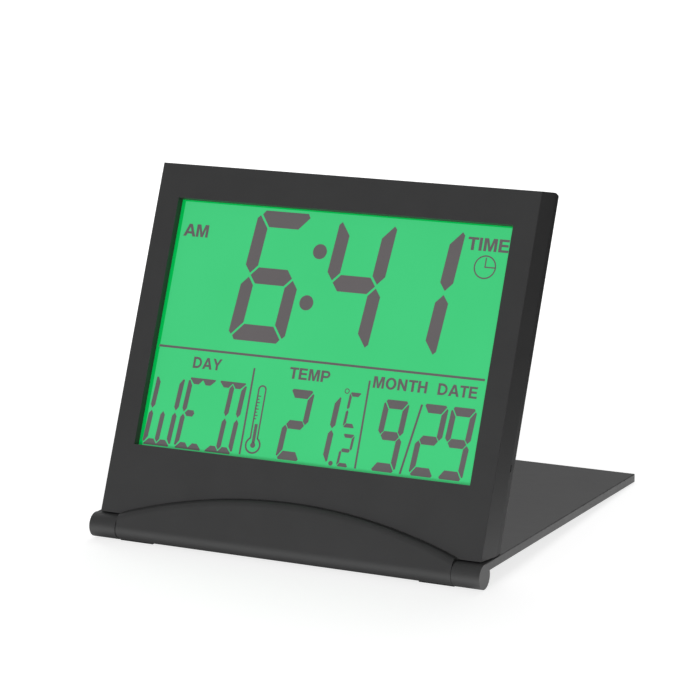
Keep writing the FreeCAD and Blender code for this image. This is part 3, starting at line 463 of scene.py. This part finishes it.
def letter(bm, strokes, left, low, wide, tall, upright, level, lean):
    """A letter of the day: side, centre and half bars, the long bars notched in the middle."""
    w, h, tv, th = wide, tall, upright, level
    mid, centre = h / 2, w / 2
    gap, join, tip = 0.42, 0.24, 0.38
    point, slant, nib, shoulder = 0.9, 1.2, 0.1, 0.35
    near, far = tv * shoulder, tv * (1 - shoulder)

    def column(x, low_y, high_y, low_cut, high_cut):
        """One upright; a cut slopes an end in from the left, from the right or from both."""
        lows = {"both": [(x, low_y + point), (x + tv / 2, low_y), (x + tv, low_y + point)],
                "left": [(x, low_y), (x + near, low_y - nib), (x + tv, low_y + slant)],
                "right": [(x, low_y + slant), (x + far, low_y - nib), (x + tv, low_y)]}
        highs = {"both": [(x + tv, high_y - point), (x + tv / 2, high_y), (x, high_y - point)],
                 "left": [(x + tv, high_y - slant), (x + near, high_y + nib), (x, high_y)],
                 "right": [(x + tv, high_y), (x + far, high_y + nib), (x, high_y - slant)]}
        return lows[low_cut] + highs[high_cut]

    def long_bar():
        """The top bar, with a notch for the centre upright."""
        notch, apex, corner = 1, 0.42, 0.35
        return [(tip + 0.1, h), (w - tip - 0.1, h), (w - tip - 0.05, h - corner),
                (w - tv - gap, h - th), (centre + notch, h - th), (centre, h - apex),
                (centre - notch, h - th), (tv + gap, h - th), (tip + 0.05, h - corner)]

    foot, head_end = th * 0.5, h - th * 0.5
    shapes = {
        "top": long_bar,
        "bottom": lambda: [(x, h - y) for x, y in reversed(long_bar())],
        "left_up": lambda: column(0, mid + join, head_end, "both", "left"),
        "left_down": lambda: column(0, foot, mid - join, "left", "both"),
        "right_up": lambda: column(w - tv, mid + join, head_end, "both", "right"),
        "right_down": lambda: column(w - tv, foot, mid - join, "right", "both"),
        "centre_up": lambda: column(centre - tv / 2, mid + join, head_end, "both", "both"),
        "centre_down": lambda: column(centre - tv / 2, foot, mid - join, "both", "both"),
        "half_bar": lambda: [(tv * 0.75, mid), (tv + 0.4, mid + th / 2),
                             (centre - 0.75, mid + th / 2), (centre - 0.3, mid),
                             (centre - 0.75, mid - th / 2), (tv + 0.4, mid - th / 2)],
    }
    for key in strokes:
        points = shapes[key]()
        outline(bm, [(left + x + lean * (y - mid), low + y) for x, y in points])


def bowl(bm, x, low, high, reach, stem):
    """The round side of a letter: a half-round band and two bars that join it to its stem."""
    half = (high - low) / 2
    thin = stem * 0.88
    turn_x = x + reach - half
    arc(bm, turn_x, low + half, half, half - thin, -90, 180)
    bar(bm, x, turn_x, low, low + thin)
    bar(bm, x, turn_x, high - thin, high)


# Capitals are drawn one unit tall: each has its width and the corners of its straight parts.
STEM, ARM = 0.228, 0.185
CAPITALS = {
    "A": (1.0, [[(0, 0), (0.245, 0), (0.5, 0.74), (0.5, 1), (0.375, 1)],
                [(1, 0), (0.625, 1), (0.5, 1), (0.5, 0.74), (0.755, 0)],
                [(0.3, 0.21), (0.7, 0.21), (0.64, 0.395), (0.36, 0.395)]]),
    "D": (0.86, [[(0, 0), (STEM, 0), (STEM, 1), (0, 1)]]),
    "E": (0.76, [[(0, 0), (STEM, 0), (STEM, 1), (0, 1)],
                 [(STEM, 0), (0.76, 0), (0.76, ARM), (STEM, ARM)],
                 [(STEM, 0.42), (0.71, 0.42), (0.71, 0.42 + ARM), (STEM, 0.42 + ARM)],
                 [(STEM, 1 - ARM), (0.74, 1 - ARM), (0.74, 1), (STEM, 1)]]),
    "H": (0.82, [[(0, 0), (STEM, 0), (STEM, 1), (0, 1)],
                 [(0.82 - STEM, 0), (0.82, 0), (0.82, 1), (0.82 - STEM, 1)],
                 [(STEM, 0.42), (0.82 - STEM, 0.42), (0.82 - STEM, 0.42 + ARM),
                  (STEM, 0.42 + ARM)]]),
    "I": (STEM, [[(0, 0), (STEM, 0), (STEM, 1), (0, 1)]]),
    "M": (0.98, [[(0, 0), (0.21, 0), (0.21, 1), (0, 1)],
                 [(0.77, 0), (0.98, 0), (0.98, 1), (0.77, 1)],
                 [(0.21, 1), (0.21, 0.72), (0.39, 0), (0.49, 0), (0.49, 0.35), (0.31, 1)],
                 [(0.77, 1), (0.67, 1), (0.49, 0.35), (0.49, 0), (0.59, 0), (0.77, 0.72)]]),
    "N": (0.82, [[(0, 0), (0.21, 0), (0.21, 1), (0, 1)],
                 [(0.61, 0), (0.82, 0), (0.82, 1), (0.61, 1)],
                 [(0.21, 1), (0.21, 0.62), (0.61, 0), (0.61, 0.38)]]),
    "O": (0.96, []),
    "P": (0.78, [[(0, 0), (STEM, 0), (STEM, 1), (0, 1)]]),
    "T": (0.8, [[(0, 1 - ARM), (0.8, 1 - ARM), (0.8, 1), (0, 1)],
                [(0.4 - STEM / 2, 0), (0.4 + STEM / 2, 0), (0.4 + STEM / 2, 1 - ARM),
                 (0.4 - STEM / 2, 1 - ARM)]]),
    "Y": (0.94, [[(0, 1), (0.356, 0.41), (0.584, 0.41), (0.94, 1), (0.69, 1), (0.47, 0.61),
                  (0.25, 1)],
                 [(0.356, 0), (0.584, 0), (0.584, 0.41), (0.356, 0.41)]]),
}
ROUND_PARTS = {
    "D": lambda bm: bowl(bm, STEM, 0, 1, 0.66, STEM),
    "O": lambda bm: ring(bm, 0.48, 0.5, (0.48, 0.515), (0.48 - STEM, 0.515 - ARM), 28),
    "P": lambda bm: bowl(bm, STEM, 0.36, 1, 0.58, STEM * 0.95),
}
SPACE_AFTER = 0.13
TIGHT_AFTER = {"A": 0.03, "T": 0.06}


def carry(source, target):
    """Adds one bmesh to another and frees it."""
    store = bpy.data.meshes.new("carried")
    source.to_mesh(store)
    source.free()
    target.from_mesh(store)
    bpy.data.meshes.remove(store)


def legend(bm, text, x0, x1, y0, y1):
    """Plain bold capitals that fill a box."""
    word = bmesh.new()
    along = 0.0
    for glyph in text:
        width, shapes = CAPITALS[glyph]
        cell = bmesh.new()
        for points in shapes:
            outline(cell, points)
        if glyph in ROUND_PARTS:
            ROUND_PARTS[glyph](cell)
        bmesh.ops.translate(cell, verts=cell.verts, vec=(along, 0, 0))
        carry(cell, word)
        along += width + TIGHT_AFTER.get(glyph, SPACE_AFTER)
    along -= TIGHT_AFTER.get(text[-1], SPACE_AFTER)
    fit = Matrix.Diagonal(((x1 - x0) / along, y1 - y0, 1, 1))
    bmesh.ops.transform(word, matrix=Matrix.Translation((x0, y0, 0)) @ fit, verts=word.verts)
    carry(word, bm)


def thicken(bm, height):
    """Gives flat artwork its thickness, in millimetres, towards the side that it faces."""
    grown = bmesh.ops.extrude_face_region(bm, geom=bm.faces[:])
    risen = [item for item in grown["geom"] if isinstance(item, bmesh.types.BMVert)]
    bmesh.ops.translate(bm, verts=risen, vec=(0, 0, height))
    bmesh.ops.recalc_face_normals(bm, faces=bm.faces)


def lay_flat(bm, name, depth, material):
    """Gives display artwork the thickness of its layer and lays it on the face."""
    thicken(bm, SHEET / MM)
    bmesh.ops.transform(bm, matrix=on_face(depth), verts=bm.verts)
    finish_piece(bm, name, "head", material)


FIELD_DEPTH = FILM_FRONT - LAYER_GAP
INK_DEPTH = FIELD_DEPTH - SHEET - LAYER_GAP

# The field stops short of the window's edges, so the darker border film round it shows as painted
# shade of the bezel.
FIELD_LEFT, FIELD_RIGHT, FIELD_FOOT, FIELD_TOP = -45.65, 45.75, 21.35, 84.93
TIME_FOOT, ROW_FOOT, DAY_FOOT = 50.7, 22.1, 21.75
CAPTION_FOOT, CAPTION_TOP = 42.4, 45.3
LARGE = {"wide": 16.0, "tall": 33.55, "upright": 3.5, "level": 4.2, "gap": 0.72, "lean": 0.087}
SMALL = {"wide": 6.8, "tall": 17.85, "upright": 1.48, "level": 2.2, "gap": 0.36, "lean": 0.062}
UNIT_LETTER = {"wide": 3.3, "tall": 8.85, "upright": 0.72, "level": 1.05, "gap": 0.2, "lean": 0.062}
TENTHS = {"wide": 3.3, "tall": 8.2, "upright": 0.66, "level": 0.95, "gap": 0.2, "lean": 0.062}
DAY_LETTER = {"wide": 8.1, "tall": 18.2, "upright": 1.28, "level": 1.62, "lean": 0.062}

field = bmesh.new()
bar(field, FIELD_LEFT, FIELD_RIGHT, FIELD_FOOT, FIELD_TOP)
lay_flat(field, "display_field", FIELD_DEPTH, FIELD)

COLON_RADIUS = 1.93
time_figures = bmesh.new()
for glyph, right in (("6", -9.5), ("4", 13.7), ("1", 32.2)):
    digit(time_figures, glyph, right, TIME_FOOT, **LARGE)
for x, y in ((-5.15, 74.95), (-6.45, 61.75)):
    disc(time_figures, x, y, COLON_RADIUS)
lay_flat(time_figures, "time_figures", INK_DEPTH, INK)

SCALE_RIGHT, UNIT_FOOT = 12.85, 31.85
POINT_X, POINT_Y, POINT_RADIUS = 7.75, 22.65, 0.6
DEGREE_X, DEGREE_Y, DEGREE_OUTER, DEGREE_INNER = 8.93, 40.85, 0.68, 0.44
SLASH_FOOT, SLASH_HEAD, SLASH_WIDTH = (26.75, ROW_FOOT), (29.6, 39.6), 0.56
small_figures = bmesh.new()
for glyph, right in (("2", -0.3), ("1", 7.23), ("9", 25.8), ("2", 36.3), ("9", 43.87)):
    digit(small_figures, glyph, right, ROW_FOOT, **SMALL)
digit(small_figures, "C", SCALE_RIGHT, UNIT_FOOT, **UNIT_LETTER)
digit(small_figures, "2", SCALE_RIGHT, ROW_FOOT, **TENTHS)
disc(small_figures, POINT_X, POINT_Y, POINT_RADIUS)
ring(small_figures, DEGREE_X, DEGREE_Y, (DEGREE_OUTER, DEGREE_OUTER), (DEGREE_INNER, DEGREE_INNER))
stroke(small_figures, SLASH_FOOT, SLASH_HEAD, SLASH_WIDTH)
lay_flat(small_figures, "temperature_and_date", INK_DEPTH, INK)

day = bmesh.new()
uprights = ["left_up", "left_down", "right_up", "right_down"]
for left, strokes in (
    (-45.3, uprights + ["centre_down", "bottom"]),
    (-36.1, ["top", "left_up", "left_down", "half_bar", "bottom"]),
    (-27.5, ["top", "centre_up", "centre_down", "right_up", "right_down", "bottom"]),
):
    letter(day, strokes, left, DAY_FOOT, **DAY_LETTER)
lay_flat(day, "day_letters", INK_DEPTH, INK)

words = bmesh.new()
for text, x0, x1, y0, y1 in (
    ("AM", -44.7, -37.6, 75.95, 79.2),
    ("TIME", 34.5, 45.55, 78.7, 81.95),
    ("DAY", -35.2, -27.05, CAPTION_FOOT, CAPTION_TOP),
    ("TEMP", -7.7, 3.5, CAPTION_FOOT, CAPTION_TOP),
    ("MONTH", 15.6, 30.2, CAPTION_FOOT, CAPTION_TOP),
    ("DATE", 33.1, 43.6, CAPTION_FOOT, CAPTION_TOP),
):
    legend(words, text, x0, x1, y0, y1)
lay_flat(words, "display_words", INK_DEPTH, INK)

ROW_LINE = (-45.85, 45.0, 46.91, 47.49)
DIVIDER_HALF, DIVIDER_TOP = 0.26, 44.05
DIAL_X, DIAL_Y, DIAL_OUTER, DIAL_INNER = 40.07, 74.75, 2.96, 2.62
MINUTE_HAND = (39.93, 40.25, 74.59, 77.1)
HOUR_HAND = (40.25, 42.75, 74.59, 74.91)
marks = bmesh.new()
bar(marks, *ROW_LINE)
for x in (-17.65, 14.57):
    bar(marks, x - DIVIDER_HALF, x + DIVIDER_HALF, ROW_FOOT, DIVIDER_TOP)
ring(marks, DIAL_X, DIAL_Y, (DIAL_OUTER, DIAL_OUTER), (DIAL_INNER, DIAL_INNER))
bar(marks, *MINUTE_HAND)
bar(marks, *HOUR_HAND)
lay_flat(marks, "display_lines", INK_DEPTH, INK)

GAUGE_X, BULB_Y = -14.42, 24.75
BULB_OUTER, BULB_INNER, BULB_DOT = 2.2, 1.74, 0.7
BULB_START, BULB_TURN, BULB_STEPS = 119, 302, 40
COLUMN_HALF, COLUMN_FOOT, COLUMN_TOP = 0.42, BULB_Y + 0.5, 30.1
TUBE_REACH, TUBE_LINE, TUBE_FOOT, TUBE_TOP = 0.99, 0.42, 26.4, 38.8
CAP_OUTER, CAP_INNER = 1.2, 0.78
TICKS, TICK_LEFT, TICK_FOOT, TICK_STEP, TICK_HALF = 8, 0.83, 31.4, 0.82, 0.14
TICK_LONG, TICK_SHORT = 0.75, 0.5
gauge = bmesh.new()
arc(gauge, GAUGE_X, BULB_Y, BULB_OUTER, BULB_INNER, BULB_START, BULB_TURN, BULB_STEPS)
disc(gauge, GAUGE_X, BULB_Y, BULB_DOT)
bar(gauge, GAUGE_X - COLUMN_HALF, GAUGE_X + COLUMN_HALF, COLUMN_FOOT, COLUMN_TOP)
for side in (-1, 1):
    x = GAUGE_X + side * TUBE_REACH
    stroke(gauge, (x, TUBE_FOOT), (x, TUBE_TOP), TUBE_LINE)
arc(gauge, GAUGE_X, TUBE_TOP, CAP_OUTER, CAP_INNER, 0, 180)
for step in range(TICKS):
    left, level = GAUGE_X - TICK_LEFT, TICK_FOOT + TICK_STEP * step
    reach = TICK_LONG if step % 2 else TICK_SHORT
    bar(gauge, left, left + reach, level - TICK_HALF, level + TICK_HALF)
lay_flat(gauge, "display_gauge", INK_DEPTH, INK)


# ------------------------------------------------------------------ marks on the back

def cap_place(node):
    """The middle of a cap's outer face, across and up the head, and the face's depth in metres."""
    depth = head_depth(node, max)
    local = [HEAD.inverted() @ v.co for v in NODES[node].data.vertices]
    outer = [v for v in local if v.y > depth - 0.01 * MM]
    across = (min(v.x for v in outer) + max(v.x for v in outer)) / 2 / MM
    height = (min(v.z for v in outer) + max(v.z for v in outer)) / 2 / MM
    return across, height, depth


SUNK = 0.03
THIN_PRINT = 0.05


def raise_mark(bm, name, body, slot, x, y, depth, height):
    """Stands a mark, drawn about its own middle as seen from behind, on the back of the head.

    x, y and height are in millimetres and depth in metres. A little of the mark is sunk in.
    """
    thicken(bm, height + SUNK)
    behind = Matrix((Vector((-1, 0, 0)), UP, BACK)).transposed().to_4x4()
    behind.translation = HEAD @ Vector((x * MM, depth - SUNK * MM, y * MM))
    bmesh.ops.transform(bm, matrix=behind @ Matrix.Scale(MM, 4), verts=bm.verts)
    finish_piece(bm, name, body, FINISH[slot])


def mark_dish(bm, name, node, slot):
    """Stands a mark in the dish of a rubber cap, as high as the dish is deep."""
    across, height, depth = cap_place(node)
    raise_mark(bm, name, NODES[node]["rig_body"], slot, across, height,
               depth - DISH_DEPTH * MM, DISH_DEPTH)


def triangle(bm, x, y, size, turn=0.0):
    """A small three-cornered mark that points up, or where its turn in degrees takes it."""
    place = Matrix.Translation((x, y, 0)) @ Matrix.Rotation(math.radians(turn), 4, "Z")
    bmesh.ops.create_circle(bm, cap_ends=True, segments=3, radius=size, matrix=place)


BUTTON_MARKS = {
    "mode_button": lambda bm: ring(bm, 0, 0, (1.05, 1.05), (0.65, 0.65)),
    "set_button": lambda bm: disc(bm, 0, 0, 0.75),
    "up_button": lambda bm: triangle(bm, 0, -0.2, 1.15),
    "down_button": lambda bm: triangle(bm, 0, 0.2, 1.15, 180),
}
for key, draw in BUTTON_MARKS.items():
    mark = bmesh.new()
    draw(mark)
    mark_dish(mark, f"{key}_mark", key, "knob_plastic")

BAR_RIB_REACH, BAR_RIB_HALF = 11, 0.17
bar_ribs = bmesh.new()
for height in (-1, 0, 1):
    bar(bar_ribs, -BAR_RIB_REACH, BAR_RIB_REACH, height - BAR_RIB_HALF, height + BAR_RIB_HALF)
mark_dish(bar_ribs, "snooze_bar_ribs", "snooze_bar", "button_rubber")

KNOB_RIB_STEP, KNOB_RIB_REACH, KNOB_RIB_HALF, KNOB_RIB_HEIGHT = 0.75, 0.8, 0.13, 0.18
knob_x, knob_y, knob_depth = cap_place("alarm_knob")
knob_ribs = bmesh.new()
for across in (-KNOB_RIB_STEP, 0, KNOB_RIB_STEP):
    bar(knob_ribs, across - KNOB_RIB_HALF, across + KNOB_RIB_HALF, -KNOB_RIB_REACH, KNOB_RIB_REACH)
raise_mark(knob_ribs, "alarm_slider_ribs", NODES["alarm_knob"]["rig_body"], "knob_plastic",
           knob_x, knob_y, knob_depth, KNOB_RIB_HEIGHT)

SIGN_RADIUS, SIGN_HOLE, SIGN_DROP = 0.7, 0.42, 3.0
slide_travel = JOINTS["alarm_slide"]["range_m"][1] / MM
signs = bmesh.new()
ring(signs, 0, 0, (SIGN_RADIUS, SIGN_RADIUS), (SIGN_HOLE, SIGN_HOLE), 28)
disc(signs, -slide_travel, 0, SIGN_RADIUS)
raise_mark(signs, "alarm_signs", "head", "knob_plastic", knob_x, knob_y - SIGN_DROP,
           head_depth("rear_case", max), THIN_PRINT)

# The turning arrow runs round the foot of the door and the plus sign stands at its top.
SIGN_CIRCLE, LINE_HALF = 8.4, 0.2
PLUS_REACH, PLUS_FOOT, PLUS_LOW, PLUS_HIGH, PLUS_TOP = 1.4, 3.1, 1.9, 1.5, 0.3
ARROW_START, ARROW_TURN, ARROW_HEAD, ARROW_SIZE = 205, 50, 258, 0.95
door_centre = HEAD.inverted() @ Vector(JOINTS["battery_door_turn"]["pos_m"])
door_signs = bmesh.new()
arc(door_signs, 0, 0, SIGN_CIRCLE + LINE_HALF, SIGN_CIRCLE - LINE_HALF, ARROW_START, ARROW_TURN)
triangle(door_signs, SIGN_CIRCLE * math.cos(math.radians(ARROW_HEAD)),
         SIGN_CIRCLE * math.sin(math.radians(ARROW_HEAD)), ARROW_SIZE, ARROW_HEAD)
for half, below, above in (
    (PLUS_REACH, PLUS_LOW, PLUS_HIGH),
    (LINE_HALF, PLUS_FOOT, PLUS_LOW),
    (LINE_HALF, PLUS_HIGH, PLUS_TOP),
):
    bar(door_signs, -half, half, SIGN_CIRCLE - below, SIGN_CIRCLE - above)
raise_mark(door_signs, "door_signs", NODES["battery_door"]["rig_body"], "knob_plastic",
           door_centre.x / MM, door_centre.z / MM, head_depth("battery_door", max), THIN_PRINT)


# ------------------------------------------------------------------ stage, lights and camera

# The floor is shaded by distances in metres: from the middle, into a patch by the right side,
# behind the front edge of the clock and past its sides.
NEAR, FAR = 0.07, 0.26
PATCH_EDGE, PATCH_FADE = 0.055, 0.095
PATCH_SHIFT, PATCH_STRETCH = (-0.16, -0.012, 0), (2.5, 1, 1)
FRONT_START, FRONT_END = -0.054, -0.0475
SIDE_START, SIDE_END = 0.05, 0.056
NEAR_TONE, FAR_TONE = (0.5, 0.5, 0.5, 1), (0.2, 0.2, 0.2, 1)


def stage_material():
    """A pale floor that reads as white paper and keeps the soft shadow.

    Its matte part is palest round the clock, and its own glow makes up the rest as that falls
    off. To mirrored rays it glows as painted reflection: bright in front of the clock and in a
    patch by its right side, which paints highlights on the clock's lower curves and right end,
    dimmer elsewhere, and nearly dark under the clock, which paints shade along its undersides.
    """
    material, wire = new_material("studio_floor")
    tree = material.node_tree
    tree.nodes.remove(tree.nodes["Principled BSDF"])
    place = wire.add("ShaderNodeTexCoord", output="Object")

    def length(vector):
        return wire.add("ShaderNodeVectorMath", {"operation": "LENGTH"}, {0: vector},
                        output="Value")

    def ease(value, start, end):
        """Goes smoothly from 0 to 1 between two distances in metres."""
        return wire.add("ShaderNodeMapRange", {"interpolation_type": "SMOOTHSTEP"},
                        {"Value": value, "From Min": start, "From Max": end})

    beside = wire.add("ShaderNodeMapping", None,
                      {"Vector": place, "Location": PATCH_SHIFT, "Scale": PATCH_STRETCH})
    across = wire.add("ShaderNodeMath", {"operation": "ABSOLUTE"},
                      {0: wire.add("ShaderNodeSeparateXYZ", None, {"Vector": place}, output="X")})
    along = wire.add("ShaderNodeSeparateXYZ", None, {"Vector": place}, output="Y")
    far = ease(length(place), NEAR, FAR)
    outside = ease(length(beside), PATCH_EDGE, PATCH_FADE)
    behind_front = ease(along, FRONT_START, FRONT_END)
    past_side = ease(across, SIDE_START, SIDE_END)
    # Under the clock the mirrored glow mostly drops away: painted shade on the clock's undersides.
    under = behind_front * (1 - past_side)
    seen = wire.add("ShaderNodeLightPath", output="Is Camera Ray")
    gloss = wire.add("ShaderNodeLightPath", output="Is Glossy Ray")
    # The glow seen only by mirrored rays paints reflections: highlights from the bright front and
    # side patch.
    mirrored = (2.0 - behind_front * 0.8 - far * 0.35 - outside * 0.85) * (1 - under * 0.8)
    strength = seen * (far * 0.36 + 0.76) + gloss * mirrored
    tone = wire.mix(far, NEAR_TONE, FAR_TONE)
    matte = wire.add("ShaderNodeBsdfDiffuse", None, {"Color": tone})
    glow = wire.add("ShaderNodeEmission", None, {"Color": (1, 1, 1, 1), "Strength": strength})
    both = wire.add("ShaderNodeAddShader", None, {0: matte, 1: glow})
    tree.links.new(both.socket, tree.nodes["Material Output"].inputs["Surface"])
    return material


FLOOR_REACH, FLOOR_LEVEL = 2.0, -0.00005
floor_bm = bmesh.new()
bmesh.ops.create_grid(floor_bm, x_segments=1, y_segments=1, size=FLOOR_REACH,
                      matrix=Matrix.Translation((0, 0, FLOOR_LEVEL)))
floor_mesh = bpy.data.meshes.new("floor")
floor_bm.to_mesh(floor_mesh)
floor_bm.free()
floor_mesh.materials.append(stage_material())
floor = bpy.data.objects.new("floor", floor_mesh)
bpy.context.scene.collection.objects.link(floor)

# The world is white to the camera and lights the clock with a share of that.
AMBIENT = 0.21
world = bpy.data.worlds.new("studio")
world.use_nodes = True
view = Wire(world.node_tree).add("ShaderNodeLightPath", output="Is Camera Ray")
background = world.node_tree.nodes["Background"]
background.inputs["Color"].default_value = (1, 1, 1, 1)
world.node_tree.links.new((view * (1 - AMBIENT) + AMBIENT).socket, background.inputs["Strength"])
bpy.context.scene.world = world

AIM = Vector((0, 0, 0.045))


def softbox(name, place, width, height, power, mirrored=True):
    """A lamp that faces the clock, in metres and watts; unmirrored, it adds no shine."""
    lamp = bpy.data.lights.new(name, "AREA")
    lamp.shape = "RECTANGLE"
    lamp.size = width
    lamp.size_y = height
    lamp.energy = power
    holder = bpy.data.objects.new(name, lamp)
    holder.location = place
    holder.rotation_euler = (AIM - Vector(place)).to_track_quat("-Z", "Y").to_euler()
    holder.visible_glossy = mirrored
    bpy.context.scene.collection.objects.link(holder)


softbox("overhead", (-0.1, 0.6, 0.8), width=0.5, height=0.5, power=3.4)
softbox("front", (0.1, -1.0, 0.08), width=1.0, height=0.3, power=10.4, mirrored=False)
softbox("behind", (-0.9, 0.5, 0.3), width=0.5, height=0.5, power=3.4)

AZIMUTH, ELEVATION, ROLL = (math.radians(a) for a in (27.332, 14.483, -1.387))
ASIDE, ALOFT, AWAY = -0.0047995, 0.0412274, 0.8014922
FOCAL_LENGTH, SENSOR_WIDTH, NEAR_CLIP = 159.765, 36.0, 0.01
toward = Vector((math.sin(AZIMUTH) * math.cos(ELEVATION), -math.cos(AZIMUTH) * math.cos(ELEVATION),
                 math.sin(ELEVATION)))
level_right = Vector((math.cos(AZIMUTH), math.sin(AZIMUTH), 0))
level_up = toward.cross(level_right)
right = level_right * math.cos(ROLL) + level_up * math.sin(ROLL)
up = level_up * math.cos(ROLL) - level_right * math.sin(ROLL)
lens = bpy.data.cameras.new("camera")
lens.lens = FOCAL_LENGTH
lens.sensor_width = SENSOR_WIDTH
lens.clip_start = NEAR_CLIP
camera = bpy.data.objects.new("camera", lens)
camera.matrix_world = Matrix((right, up, toward)).transposed().to_4x4()
camera.location = right * ASIDE + up * ALOFT + toward * AWAY
bpy.context.scene.collection.objects.link(camera)
bpy.context.scene.camera = camera
bpy.context.scene.view_settings.view_transform = "Standard"
